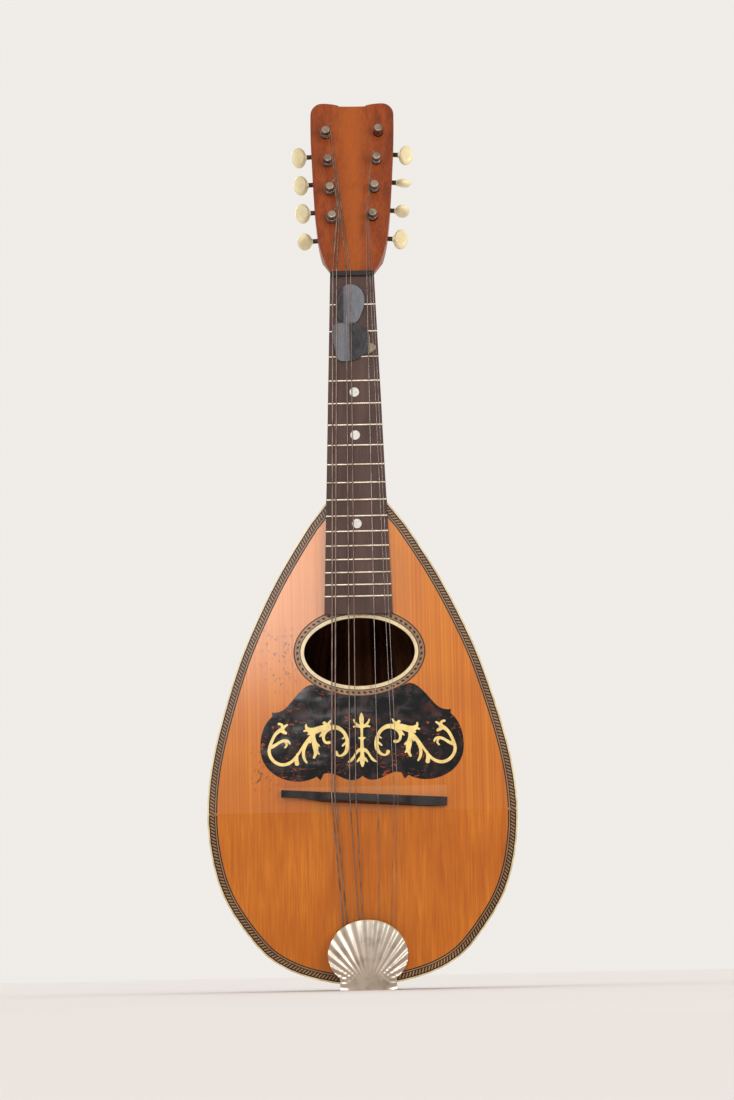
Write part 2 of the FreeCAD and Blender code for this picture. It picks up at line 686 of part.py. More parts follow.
def wood_screw(length):
    """Round-head screw along Z: the head below zero, the shank above."""
    head = Part.makeSphere(2.0).common(box((-3, 3), (-3, 3), (-1.0, 0)))
    slit = box((-3, 3), (-0.25, 0.25), (-1.2, -0.6))
    return head.cut(slit).fuse(rod(1.1, Vector(0, 0, 0), Vector(0, 0, length))).Solids[0]


def strip_screws(side):
    screws = []
    for y in strip_screw_stations:
        screw = wood_screw(7.0)
        screw.translate(Vector(0, y, -head_thickness - strip_plate_thickness))
        screws.append(to_instrument(screw, side))
    return screws


def foot_bevel():
    """Wedge that takes the back corner off the treble side of the headstock's foot."""
    corner = Vector(head_foot_half_width, 0, 0)
    edges = (Vector(-3.2, 0, -head_thickness), Vector(5.2, 12.0, -head_thickness))
    outward = edges[0].cross(edges[1]).normalize()
    wedge = Part.makeBox(40, 40, 12, Vector(-20, -20, 0), Vector(0, 0, 1))
    wedge.Placement = Placement(corner, Rotation(Vector(0, 0, 1), outward)).multiply(wedge.Placement)
    return wedge


def make_headstock(screws):
    foot = head_foot_half_width
    head = head_outline().extrude(Vector(0, 0, -head_thickness))
    head = head.fuse(box((-foot, foot), (-4, 0.5), (-head_thickness, 0)))
    bevel = foot_bevel()
    head = head.cut(bevel).cut(bevel.mirror(Vector(0, 0, 0), Vector(1, 0, 0)))
    below_nut = box((-60, 60), (-60, 60), (nut_line_z - 40, head_origin.z))
    head = to_head(head).cut(below_nut)
    holes = []
    for side in ("left", "right"):
        for station in range(4):
            hole = rod(post_hole_radius, Vector(0, 0, -20), Vector(0, 0, 5))
            holes.append(to_instrument(hole, side, station))
    head = head.cut(Part.makeCompound(holes)).cut(Part.makeCompound(screws))
    export("headstock", head.removeSplitter().Solids[0])


def make_tuners():
    plate = strip_plate()
    machine = {"post": post(), "gear": gear(), "worm_shaft": worm_shaft()}
    for side in ("left", "right"):
        export("tuner_plate_" + side, to_instrument(plate, side))
        for station in range(4):
            tag = "_%s_%d" % (side, station + 1)
            for name, shape in machine.items():
                export(name + tag, *to_instrument(shape, side, station).Solids)
            export("button" + tag, to_instrument(button(button_turns[side][station]), side, station))


# ---------------------------------------------------------------- bridge and strings

# pass_x is where a string passes its side's first post, in the headstock's frame, if it does.
# The treble side's fourth post has no string: one A string is missing.
String = namedtuple("String", "x_nut x_bridge hook side station pass_x radius")
string_courses = {
    "g": (String(-12.3, -19.0, 0, "left", 0, None, 0.46), String(-9.9, -17.0, 1, "left", 1, -8.6, 0.46)),
    "d": (String(-3.7, -7.7, 2, "left", 2, -7.5, 0.32), String(-0.9, -3.9, 3, "left", 3, None, 0.32)),
    "a": (String(9.4, 9.8, 5, "right", 2, 9.0, 0.2),),
    "e": (String(13.0, 22.3, 7, "right", 0, None, 0.15), String(11.4, 19.8, 6, "right", 1, 9.6, 0.15)),
}


def all_strings():
    return [string for course in string_courses.values() for string in course]


def hook_x(number):
    group, member = divmod(number, 2)
    return hook_group_x[group] + (member - 0.5) * hook_pair_spacing


def bridge_line_z(x):
    (x0, z0), (x1, z1) = bridge_ends
    return z0 + (x - x0) * (z1 - z0) / (x1 - x0)


def rounded_path(points, cut):
    """Straight runs joined by arcs that start at the distance cut before each corner."""
    edges = []
    start = points[0]
    for before, corner, after in zip(points, points[1:], points[2:]):
        arriving = (corner - before).normalize()
        leaving = (after - corner).normalize()
        turn = arriving.getAngle(leaving)
        rise = cut / math.tan(turn / 2) * (1 / math.cos(turn / 2) - 1)
        middle = corner + (leaving - arriving).normalize() * rise
        edges.append(Part.makeLine(start, corner - arriving * cut))
        edges.append(Part.Arc(corner - arriving * cut, middle, corner + leaving * cut).toShape())
        start = corner + leaving * cut
    edges.append(Part.makeLine(start, points[-1]))
    return Part.Wire(edges)


def string_solid(string):
    """One string as straight runs joined by round bends, from its hook to its post."""
    post_foot = to_head_frame(Part.Vertex(0, 0, 0), string.side, string.station).Point
    inward = -1 if string.side == "right" else 1
    touch = post_foot.x + inward * (post_radius + string.radius + 0.05)
    points = [Vector(hook_x(string.hook), string_y_at_hook, hook_z + 1.0),
              Vector(string.x_bridge, string_y_at_bridge, bridge_line_z(string.x_bridge)),
              Vector(string.x_nut, string_y_at_nut, nut_line_z),
              Vector(string.x_nut, string_y_at_nut, nut_line_z + nut_thickness)]
    if string.pass_x is not None:
        points.append(head_point(string.pass_x, first_post[1], string_pass_height))
    points.append(head_point(touch, post_foot.y, string_end_height))
    section = Part.Wire(Part.makeCircle(string.radius, points[0], points[1] - points[0]))
    return rounded_path(points, 1.2).makePipeShell([section], True, False)


def make_strings():
    for name, course in string_courses.items():
        export("strings_" + name, *[string_solid(string) for string in course])


def bridge_plan(half):
    """Front view of the bridge: straight upper edge, lower edge stepped back towards the ends."""
    upper = bridge_width / 2
    lower = [front(-half, upper - 4.6), front(-34, upper - 5.4), front(-26, -upper), front(26, -upper),
             front(40, -upper), front(half, upper - 5.2)]
    others = Part.makePolygon([lower[-1], front(half, upper), front(-half, upper), lower[0]]).Edges
    return Part.Face(Part.Wire([spline(lower)] + others))


def make_bridge():
    """Ebony bar, tall in the middle with lower swept ends, standing loose on the soundboard."""
    (x0, z0), (x1, z1) = bridge_ends
    length = math.hypot(x1 - x0, z1 - z0)
    half = length / 2
    top = [Vector(-half, -3.6, 0), Vector(-half + 8, -5.4, 0), Vector(-36, -4.4, 0), Vector(-30, -5.0, 0),
           Vector(-26, -9.4, 0), Vector(-22, -bridge_height, 0)]
    right = mirrored(top)
    profile = [Part.makeLine(Vector(-half, 0, 0), top[0]), spline(top), Part.makeLine(top[-1], right[0]),
               spline(right), Part.makeLine(right[-1], Vector(half, 0, 0)),
               Part.makeLine(Vector(half, 0, 0), Vector(-half, 0, 0))]
    bar = Part.Face(Part.Wire(Part.__sortEdges__(profile))).extrude(Vector(0, 0, bridge_width))
    bar.translate(Vector(0, 0, -bridge_width / 2))
    wedge = [Vector(-80, 0, -bridge_width / 2), Vector(-80, 0, bridge_width / 2),
             Vector(-80, -bridge_height - 1, bridge_top_width / 2),
             Vector(-80, -bridge_height - 1, -bridge_top_width / 2)]
    bar = bar.common(Part.Face(Part.makePolygon(wedge + wedge[:1])).extrude(Vector(160, 0, 0)))
    bar = bar.common(prism(bridge_plan(half), -20, 1))
    bar.rotate(Vector(0, 0, 0), Vector(0, 1, 0), -math.degrees(math.atan2(z1 - z0, x1 - x0)))
    bar.translate(Vector((x0 + x1) / 2, board_front_y - 0.02, (z0 + z1) / 2))
    for string in all_strings():
        x = string.x_bridge
        z = bridge_line_z(x)
        reach = string.radius + 0.4
        bar = bar.cut(box((x - reach, x + reach), (-40, string_y_at_bridge + reach), (z - 8, z + 8)))
    export("bridge", bar.Solids[0])


# ---------------------------------------------------------------- tailpiece

def tail_screws():
    """Three screws through the hook plate's skirt into the tail block."""
    screws = []
    for x, y in ((-8.0, 8.0), (0.0, 15.0), (8.0, 8.0)):
        screw = wood_screw(12.0)
        screw.translate(Vector(tailpiece_x + x, y, skirt_z))
        screws.append(screw)
    return screws


def make_tailpiece(screws):
    """Hook plate bent over the tail: a narrow neck and skirt, widening to the row of hooks."""
    x = tailpiece_x
    narrow = box((x - 13, x + 13), (-20, 20), (skirt_z, 36))
    outline = narrow.fuse(box((x - 19, x + 19), (-20, 20), (15, 36)))
    plate = board_layer(-1.0, 0.0).common(outline)
    skirt = box((x - 13, x + 13), (board_y(tail_z) - 1.0, 22), (skirt_z, tail_z - 0.2))
    base = plate.fuse(skirt)
    for number in range(8):
        x = hook_x(number)
        width = (x - 0.45, x + 0.45)
        tip_y = string_y_at_hook - 1.0
        stem = box(width, (tip_y, board_y(hook_z) - 0.2), (hook_z - 2.4, hook_z - 1.0))
        claw = box(width, (tip_y, tip_y + 0.6), (hook_z - 4.6, hook_z - 2.4))
        base = base.fuse(stem).fuse(claw)
    export("tailpiece_base", base.cut(screws).removeSplitter().Solids[0])


def cover_y(x, z):
    """Front surface of the shell-shaped cover, with ribs fanning out from the foot."""
    dx = x - tailpiece_x
    radius = math.hypot(dx / cover_half_width, (z - cover_centre_z) / (cover_top_z - cover_centre_z))
    dome = cover_dome * max(0.0, 1 - radius ** 2)
    fan_z = z - cover_fan_z
    fan_angle = math.atan2(dx, fan_z)
    spread = min(1.0, max(0.0, (math.hypot(dx, fan_z) - 7.0) / 22.0))
    ribs = cover_rib_height * spread * math.cos(fan_angle * 2 * math.pi / cover_rib_angle)
    return board_y(z) - cover_edge_height - dome - ribs


def cover_outline(inset=0.0):
    """Round shell on a straight-sided foot."""
    side = [front(0, cover_top_z), front(9.5, cover_top_z - 1.5), front(18.5, 36.5), front(24.0, 27.5),
            front(cover_half_width, 20.5), front(22.9, 13.5), front(19.3, cover_foot_top_z + 1.5)]
    ends = (front(1, 0), front(-1, -1))
    side = moved_sideways(side, *ends, -inset)
    foot_x = cover_foot_half_width - inset
    corners = [side[-1], front(foot_x, cover_foot_top_z), front(foot_x, 0), front(0, 0)]
    half = [spline(side, *ends)] + Part.makePolygon(corners).Edges
    other = [edge.mirror(Vector(0, 0, 0), Vector(1, 0, 0)) for edge in half]
    face = Part.Face(Part.Wire(Part.__sortEdges__(half + other)))
    face.translate(Vector(tailpiece_x, 0, 0))
    return face


def make_cover():
    """Stamped sheet cover: ribbed shell, side walls and a flat foot bent under the tail."""
    columns, rows = 73, 33
    half = cover_half_width + 3.0
    heights = [-2.0 + 48.0 * j / (rows - 1) for j in range(rows)]
    grid = []
    for i in range(columns):
        x = tailpiece_x - half + 2 * half * i / (columns - 1)
        grid.append([Vector(x, cover_y(x, z), z) for z in heights])
    surface = Part.BSplineSurface()
    surface.interpolate(grid)
    sheet = surface.toShape().extrude(Vector(0, cover_sheet, 0))
    outline = cover_outline()
    shell = sheet.common(prism(outline, -30, 30))
    ring = outline.cut(cover_outline(cover_sheet))
    walls = prism(ring, -30, 30).common(surface.toShape().extrude(Vector(0, 12.0, 0)))
    walls = walls.common(board_layer(-12.0, -0.4))
    string_gap = box((tailpiece_x - 19.5, tailpiece_x + 22), (-40, 40), (26.0, 60))
    below_foot = box((-60, 60), (-40, 40), (-10, 1.0))
    walls = walls.cut(string_gap).cut(below_foot)
    foot_front = cover_y(tailpiece_x, 0.0)
    foot = box((tailpiece_x - cover_foot_half_width, tailpiece_x + cover_foot_half_width),
               (foot_front + 0.3, cover_foot_depth), (0.0, cover_sheet))
    cover = shell.multiFuse(walls.Solids + [foot])
    export("tailpiece_cover", max(cover.Solids, key=lambda piece: piece.Volume))


# ---------------------------------------------------------------- plectra held under the strings

def make_plectra():
    """Two dark plectra and the corner of a pale one, pushed under the strings near the nut."""
    top_y = board_front_y - fretboard_thickness
    drop = [front(-6.0, 445.0), front(-1.0, 446.8), front(4.5, 444.4), front(7.6, 437.5),
            front(5.2, 427.0), front(1.5, 421.6), front(-3.0, 421.0), front(-8.5, 424.0),
            front(-10.2, 429.5), front(-9.0, 438.5)]
    square = [front(-10.4, 421.6), front(-3.0, 422.6), front(6.0, 419.5), front(9.6, 415.5),
              front(9.0, 404.5), front(3.0, 398.6), front(-4.0, 397.0), front(-10.0, 398.2),
              front(-11.2, 402.0)]
    chip = [front(6.2, 402.6), front(7.5, 407.6), front(11.5, 408.4), front(14.4, 405.6),
            front(12.0, 403.0)]
    solids = []
    for outline, lift in ((drop, 1.5), (square, 0.96), (chip, 0.45)):
        curve = Part.BSplineCurve()
        curve.interpolate(Points=outline, PeriodicFlag=True)
        face = Part.Face(Part.Wire(curve.toShape()))
        solids.append(prism(face, top_y - lift - 0.45, top_y - lift))
    export("plectra", *solids)


# ---------------------------------------------------------------- build

os.makedirs("parts", exist_ok=True)
head_screws = strip_screws("left") + strip_screws("right")
foot_screws = tail_screws()
make_bowl(Part.makeCompound(foot_screws))
make_soundboard()
make_inside(Part.makeCompound(foot_screws))
make_neck()
make_fretboard()
make_nut()
make_headstock(head_screws)
make_tuners()
make_bridge()
make_strings()
make_tailpiece(Part.makeCompound(foot_screws))
make_cover()
make_plectra()
export("mounting_screws", *(head_screws + foot_screws))

for name, shape in sorted(parts.items()):
    bounds = shape.BoundBox
    print("%-18s valid %s solids %2d volume %9.1f  x %7.2f %7.2f  y %7.2f %7.2f  z %7.2f %7.2f" % (
        name, shape.isValid(), len(shape.Solids), shape.Volume, bounds.XMin, bounds.XMax,
        bounds.YMin, bounds.YMax, bounds.ZMin, bounds.ZMax))
print("nodes", len(parts))
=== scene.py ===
import json
import math

import bpy
from mathutils import Matrix, Vector
from mathutils.bvhtree import BVHTree


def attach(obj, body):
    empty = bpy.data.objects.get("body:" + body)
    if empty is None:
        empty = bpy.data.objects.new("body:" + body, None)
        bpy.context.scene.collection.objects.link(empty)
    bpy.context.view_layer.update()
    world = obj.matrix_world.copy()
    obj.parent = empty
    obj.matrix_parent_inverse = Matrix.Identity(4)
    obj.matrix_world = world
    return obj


# Looks of the bowl-back mandolin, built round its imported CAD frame.  Everything is in metres in
# the frame's own axes: neck up (+Z), strings facing -Y, treble side +X.

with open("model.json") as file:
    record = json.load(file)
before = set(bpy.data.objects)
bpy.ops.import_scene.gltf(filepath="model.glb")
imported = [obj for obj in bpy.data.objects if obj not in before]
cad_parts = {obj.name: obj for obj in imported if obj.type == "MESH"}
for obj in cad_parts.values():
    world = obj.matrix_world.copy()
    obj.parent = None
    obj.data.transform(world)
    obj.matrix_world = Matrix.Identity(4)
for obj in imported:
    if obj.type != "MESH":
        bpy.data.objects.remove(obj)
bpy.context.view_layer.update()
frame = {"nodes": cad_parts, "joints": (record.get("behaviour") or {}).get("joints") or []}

MM = 0.001

# Places on the soundboard, the same as in the CAD
board_front_y = -15.0 * MM
cant_line_z = 111.0 * MM
tail_z = 3.0 * MM
cant_depth = 15.0 * MM
hole_z = 211.3 * MM
hole_half_axes = (35.0 * MM, 21.7 * MM)

# Tuning posts
post_radius = 2.75 * MM
face_above_axis_point = 16.5 * MM      # from a post joint's position to the headstock's face
string_end_height = 4.2 * MM           # where each string meets its post, above that face
string_hole_height = 4.6 * MM          # the hole across each post, above that face

# Strings coiled round the posts
coil_start = 0.045                     # turns left free between a string's end and its coil
coil_pitch = 2.3                       # in string radii
coil_gap = 0.05 * MM                   # between the wire and the post
coil_steps = 28                        # points in each turn
wire_sides = 10

# Purfling, along the edge and round the soundhole
edge_steps = 150
edge_top_z = 305.5 * MM                # upper ends of the edge band
ring_steps = 160
proud = 0.03 * MM                      # lines above the soundboard
rope_proud = 0.04 * MM                 # rope dashes above the soundboard
sunk = 0.2 * MM

# Camera
camera_aim = Vector((6.06, -15.0, 276.0)) * MM
camera_distance = 1.9
camera_pitch = math.radians(8.0)
camera_roll = 0.0200                   # radians
camera_lens = 98.15
sensor_height = 36.0

# Studio
floor_half_size = 6.0
floor_z = -0.05 * MM
room_colour = (0.87, 0.84, 0.81)
lamp_aim = (0.0, 0.0, 0.25)
lamps = (                              # name, place, size, watts, colour
    ("key_light", (1.3, -1.5, 0.8), 0.7, 13.0, (1.0, 0.93, 0.86)),
    ("sheen_light", (-0.26, -1.9, 0.62), 0.45, 9.5, (0.98, 0.98, 1.0)),
    ("back_light", (-0.8, 1.5, 1.2), 0.8, 6.0, (1.0, 0.95, 0.9)))


def board_y(z):
    """Y of the soundboard's front surface."""
    if z >= cant_line_z:
        return board_front_y
    return board_front_y + cant_depth * (cant_line_z - z) / (cant_line_z - tail_z)


# ---------------------------------------------------------------- materials

class Finish:
    """A procedural material. Each method adds nodes and gives back the socket that they end in."""

    def __init__(self, name, **shader):
        self.material = bpy.data.materials.new(name)
        self.material.use_nodes = True
        self.tree = self.material.node_tree
        self.shader = self.tree.nodes["Principled BSDF"]
        for key, value in shader.items():
            self.set(key.replace("_", " ").title().replace("Ior", "IOR"), value)
        self.place = self.add("TexCoord", {}).outputs["Object"]

    def set(self, name, value):
        """Feed one of the shader's sockets."""
        self.feed(self.shader.inputs[name], value)

    def feed(self, socket, value):
        """Link a socket's value to it, or set a plain value on it."""
        if isinstance(value, bpy.types.NodeSocket):
            self.tree.links.new(value, socket)
        else:
            socket.default_value = value

    def add(self, kind, inputs, **settings):
        """One shader node, with its settings and its inputs by name."""
        node = self.tree.nodes.new("ShaderNode" + kind)
        for name, value in settings.items():
            setattr(node, name, value)
        for name, value in inputs.items():
            self.feed(node.inputs[name], value)
        return node

    def scaled(self, x, y, z):
        """Object coordinates in units of x, y and z metres."""
        scale = (1 / x, 1 / y, 1 / z)
        return self.add("Mapping", {"Vector": self.place, "Scale": scale}).outputs["Vector"]

    def noise(self, vector, detail=3.0, roughness=0.5, distortion=0.0):
        inputs = {"Vector": vector, "Scale": 1.0, "Detail": detail, "Roughness": roughness,
                  "Distortion": distortion}
        return self.add("TexNoise", inputs).outputs["Fac"]

    def bands(self, vector, axis):
        """Smooth waves, one for each unit along the axis."""
        one_a_unit = 1 / 3.2
        inputs = {"Vector": vector, "Scale": one_a_unit}
        wave = self.add("TexWave", inputs, wave_type="BANDS", bands_direction=axis)
        return wave.outputs["Fac"]

    def math(self, operation, first, second=0.0):
        node = self.add("Math", {}, operation=operation)
        self.feed(node.inputs[0], first)
        self.feed(node.inputs[1], second)
        return node.outputs[0]

    def weighted(self, *parts):
        """Sum of (value, weight) pairs."""
        products = [self.math("MULTIPLY", value, weight) for value, weight in parts]
        total = products[0]
        for product in products[1:]:
            total = self.math("ADD", total, product)
        return total

    def between(self, value, low, high, to_low=0.0, to_high=1.0):
        """Smooth step of a value from low to high."""
        inputs = {"Value": value, "From Min": low, "From Max": high, "To Min": to_low,
                  "To Max": to_high}
        return self.add("MapRange", inputs, interpolation_type="SMOOTHSTEP").outputs["Result"]

    def ramp(self, value, *stops):
        """Colour from a value, through (position, colour) stops."""
        node = self.add("ValToRGB", {"Fac": value})
        elements = node.color_ramp.elements
        while len(elements) < len(stops):
            elements.new(0.5)
        for element, (position, colour) in zip(elements, stops):
            element.position = position
            element.color = (*colour, 1.0)
        return node.outputs["Color"]

    def mix(self, amount, first, second):
        """Mix of two colours, through the sockets that a Mix node has for them."""
        factor, first_colour, second_colour, mixed = 0, 6, 7, 2
        node = self.add("Mix", {}, data_type="RGBA")
        self.feed(node.inputs[factor], amount)
        for socket, colour in ((node.inputs[first_colour], first), (node.inputs[second_colour], second)):
            self.feed(socket, (*colour, 1.0) if isinstance(colour, tuple) else colour)
        return node.outputs[mixed]

    def axis(self, name):
        return self.add("SeparateXYZ", {"Vector": self.place}).outputs[name]

    def grain_space(self, turn, turn_size, z_size):
        """Coordinates for a grain that runs up the instrument, from an angle round it."""
        inputs = {"X": self.math("DIVIDE", turn, turn_size),
                  "Z": self.math("DIVIDE", self.axis("Z"), z_size)}
        return self.add("CombineXYZ", inputs).outputs["Vector"]

    def patch(self, x, z, soft):
        """1 inside a front-view rectangle, fading to 0 over the distance soft."""
        inside = []
        for name, (low, high) in (("X", x), ("Z", z)):
            place = self.axis(name)
            inside.append(self.between(place, low - soft, low + soft))
            inside.append(self.between(place, high - soft, high + soft, 1.0, 0.0))
        product = inside[0]
        for other in inside[1:]:
            product = self.math("MULTIPLY", product, other)
        return product

    def bump(self, height, strength, distance):
        inputs = {"Height": height, "Strength": strength, "Distance": distance}
        self.set("Normal", self.add("Bump", inputs).outputs["Normal"])


def wood(name, light, dark, grain=(1.2, 1.2, 30.0), figure=(14.0, 14.0, 90.0), pores=0.3,
         roughness=0.35, coat=0.3):
    """Varnished wood. grain and figure are the sizes of its fine lines and broad streaks, in mm."""
    finish = Finish(name, coat_weight=coat, coat_roughness=0.18, specular_ior_level=0.2)
    fine = finish.noise(finish.scaled(*[s * MM for s in grain]), detail=4.0, roughness=0.6)
    broad = finish.noise(finish.scaled(*[s * MM for s in figure]), detail=2.0, distortion=0.6)
    tone = finish.weighted((fine, 0.55), (broad, 0.45))
    middle = tuple((a + b) / 2 for a, b in zip(light, dark))
    colour = finish.ramp(tone, (0.36, dark), (0.5, middle), (0.64, light))
    pore = finish.between(fine, 0.62, 0.74)
    colour = finish.mix(finish.math("MULTIPLY", pore, pores), colour, tuple(c * 0.35 for c in dark))
    finish.set("Base Color", colour)
    finish.set("Roughness", finish.between(fine, 0.3, 0.7, roughness, roughness + 0.14))
    finish.bump(fine, 0.25, 0.05 * MM)
    return finish


def spruce():
    """Orange varnished spruce: fine straight grain, a paler bar above the bridge, small dents."""
    paler_bar = ((-52 * MM, 53 * MM), (119 * MM, 126.5 * MM))
    worn_by_hole = ((-62 * MM, -38 * MM), (188 * MM, 226 * MM))
    worn_by_plate = ((-70 * MM, -52 * MM), (126 * MM, 150 * MM))
    finish = Finish("aged_spruce", coat_weight=0.6, coat_roughness=0.14, specular_ior_level=0.12)
    grain = finish.noise(finish.scaled(0.8 * MM, 4 * MM, 300 * MM), detail=3.0, roughness=0.6)
    rings = finish.noise(finish.scaled(4 * MM, 4 * MM, 600 * MM), detail=2.0)
    cloud = finish.noise(finish.scaled(38 * MM, 38 * MM, 60 * MM), detail=3.0)
    tone = finish.weighted((grain, 0.45), (rings, 0.2), (cloud, 0.35))
    paler_upwards = finish.between(finish.axis("Z"), 110 * MM, 290 * MM, 0.0, 0.14)
    tone = finish.math("ADD", tone, paler_upwards)
    colour = finish.ramp(tone, (0.32, (0.33, 0.07, 0.001)), (0.5, (0.44, 0.112, 0.001)),
                         (0.68, (0.57, 0.18, 0.008)))
    bar = finish.math("MULTIPLY", finish.patch(*paler_bar, 0.6 * MM), 0.14)
    colour = finish.mix(bar, colour, (0.75, 0.4, 0.2))
    worn = finish.math("ADD", finish.patch(*worn_by_hole, 8 * MM), finish.patch(*worn_by_plate, 6 * MM))
    specks = finish.between(finish.noise(finish.scaled(1.3 * MM, 1.3 * MM, 2.2 * MM)), 0.6, 0.65)
    dents = finish.math("MULTIPLY", worn, specks)
    streaks = finish.noise(finish.scaled(0.9 * MM, 0.9 * MM, 16 * MM), detail=1.0)
    scratches = finish.between(streaks, 0.7, 0.76)
    marks = finish.weighted((dents, 0.8), (scratches, 0.12))
    finish.set("Base Color", finish.mix(marks, colour, (0.09, 0.025, 0.008)))
    finish.set("Roughness", finish.between(cloud, 0.3, 0.7, 0.32, 0.5))
    finish.bump(grain, 0.2, 0.06 * MM)
    return finish


def rib_wood():
    """Dark striped hardwood of the bowl: grain along the staves, and a tone for each stave."""
    finish = Finish("bowl_hardwood", coat_weight=0.5, coat_roughness=0.22)
    below_cant = finish.math("MAXIMUM", finish.math("SUBTRACT", cant_line_z, finish.axis("Z")), 0.0)
    setback = finish.math("MULTIPLY", below_cant, cant_depth / (cant_line_z - tail_z))
    depth = finish.math("SUBTRACT", finish.math("SUBTRACT", finish.axis("Y"), board_front_y), setback)
    turn = finish.math("ARCTAN2", depth, finish.axis("X"))
    stripes = finish.noise(finish.grain_space(turn, 0.035, 160 * MM), detail=4.0, distortion=0.5)
    pores = finish.noise(finish.grain_space(turn, 0.008, 8 * MM), detail=2.0)
    stave = finish.add("NewGeometry", {}).outputs["Random Per Island"]
    tone = finish.weighted((stripes, 0.8), (stave, 0.28))
    colour = finish.ramp(tone, (0.36, (0.022, 0.008, 0.004)), (0.54, (0.085, 0.027, 0.012)),
                         (0.74, (0.19, 0.07, 0.03)))
    colour = finish.mix(finish.between(pores, 0.6, 0.72, 0.0, 0.5), colour, (0.012, 0.005, 0.003))
    finish.set("Base Color", colour)
    finish.set("Roughness", finish.between(pores, 0.3, 0.7, 0.24, 0.4))
    finish.bump(pores, 0.2, 0.05 * MM)
    return finish


def head_wood():
    """Red-brown headstock veneer, lighter down the middle."""
    finish = wood("head_veneer", (0.3, 0.058, 0.007), (0.15, 0.026, 0.005), grain=(0.9, 0.9, 18.0),
                  figure=(5.0, 5.0, 60.0), coat=0.1)
    base = finish.shader.inputs["Base Color"].links[0].from_socket
    sway = finish.noise(finish.scaled(14 * MM, 14 * MM, 35 * MM), detail=2.0)
    across = finish.math("ABSOLUTE", finish.axis("X"))
    across = finish.math("ADD", across, finish.math("MULTIPLY", sway, 16 * MM))
    centre = finish.between(across, 9 * MM, 24 * MM, 1.0, 0.0)
    base = finish.mix(finish.math("MULTIPLY", centre, 0.5), base, (0.42, 0.1, 0.01))
    # Darker towards both sides.
    darker_sides = finish.between(across, 24 * MM, 36 * MM)
    finish.set("Base Color", finish.mix(finish.math("MULTIPLY", darker_sides, 0.3), base, (0.09, 0.016, 0.006)))
    return finish


def celluloid(name, colour, stain, blotch=6.0):
    """Old cream plastic or bone: cloudy, with fine dirt in it."""
    finish = Finish(name, coat_weight=0.25, coat_roughness=0.15, subsurface_weight=0.08,
                    subsurface_radius=(0.002, 0.0015, 0.001))
    cloud = finish.noise(finish.scaled(blotch * MM, blotch * MM, blotch * MM), detail=4.0)
    dirt = finish.noise(finish.scaled(0.8 * MM, 0.8 * MM, 1.6 * MM), detail=2.0)
    tint = finish.ramp(cloud, (0.25, stain), (0.6, colour))
    dirt_colour = tuple(c * 0.5 for c in stain)
    finish.set("Base Color", finish.mix(finish.between(dirt, 0.6, 0.74, 0.0, 0.3), tint, dirt_colour))
    finish.set("Roughness", finish.between(cloud, 0.3, 0.7, 0.25, 0.45))
    finish.bump(dirt, 0.1, 0.04 * MM)
    return finish


def tortoiseshell():
    """Near-black plate with deep red and amber clouds in it."""
    finish = Finish("dark_shell", specular_ior_level=0.22)
    cloud = finish.noise(finish.scaled(9 * MM, 9 * MM, 9 * MM), detail=4.0, roughness=0.6, distortion=0.8)
    fleck = finish.noise(finish.scaled(3.2 * MM, 3.2 * MM, 1.6 * MM), detail=3.0, distortion=1.0)
    colour = finish.ramp(cloud, (0.46, (0.004, 0.004, 0.005)), (0.58, (0.014, 0.005, 0.004)),
                         (0.72, (0.05, 0.012, 0.005)))
    rim = finish.between(finish.noise(finish.scaled(24 * MM, 24 * MM, 24 * MM)), 0.42, 0.6)
    flecks = finish.math("MULTIPLY", finish.between(fleck, 0.6, 0.68), rim)
    finish.set("Base Color", finish.mix(flecks, colour, (0.3, 0.055, 0.015)))
    finish.set("Roughness", finish.between(cloud, 0.3, 0.7, 0.08, 0.2))
    waves = finish.noise(finish.scaled(16 * MM, 16 * MM, 12 * MM), detail=1.0)
    finish.bump(waves, 0.5, 0.6 * MM)
    return finish


def pearl():
    """Mother of pearl: small cells under a drifting green and pink sheen."""
    finish = Finish("mother_of_pearl", coat_weight=0.4, coat_roughness=0.12)
    fine = finish.scaled(1.6 * MM, 1.6 * MM, 1.6 * MM)
    cells = finish.add("TexVoronoi", {"Vector": fine, "Scale": 1.0})
    sheen = finish.noise(finish.scaled(1.2 * MM, 1.2 * MM, 2.4 * MM), distortion=1.5)
    colour = finish.ramp(sheen, (0.35, (0.33, 0.4, 0.35)), (0.5, (0.5, 0.48, 0.4)),
                         (0.65, (0.48, 0.37, 0.33)))
    finish.set("Base Color", finish.mix(0.12, colour, cells.outputs["Color"]))
    finish.set("Roughness", finish.between(sheen, 0.3, 0.7, 0.12, 0.3))
    finish.bump(sheen, 0.05, 0.05 * MM)
    return finish


def metal(name, colour, tarnish, roughness=(0.22, 0.42), scratches=(0.3, 0.3, 0.3)):
    """Plated or bare metal with soft tarnish clouds and fine scratches of a size in mm."""
    finish = Finish(name, metallic=1.0)
    cloud = finish.noise(finish.scaled(9 * MM, 9 * MM, 9 * MM), detail=4.0)
    scratch = finish.noise(finish.scaled(*[s * MM for s in scratches]), detail=2.0)
    finish.set("Base Color", finish.mix(finish.between(cloud, 0.45, 0.75), colour, tarnish))
    finish.set("Roughness", finish.between(scratch, 0.3, 0.7, *roughness))
    finish.bump(scratch, 0.06, 0.03 * MM)
    return finish


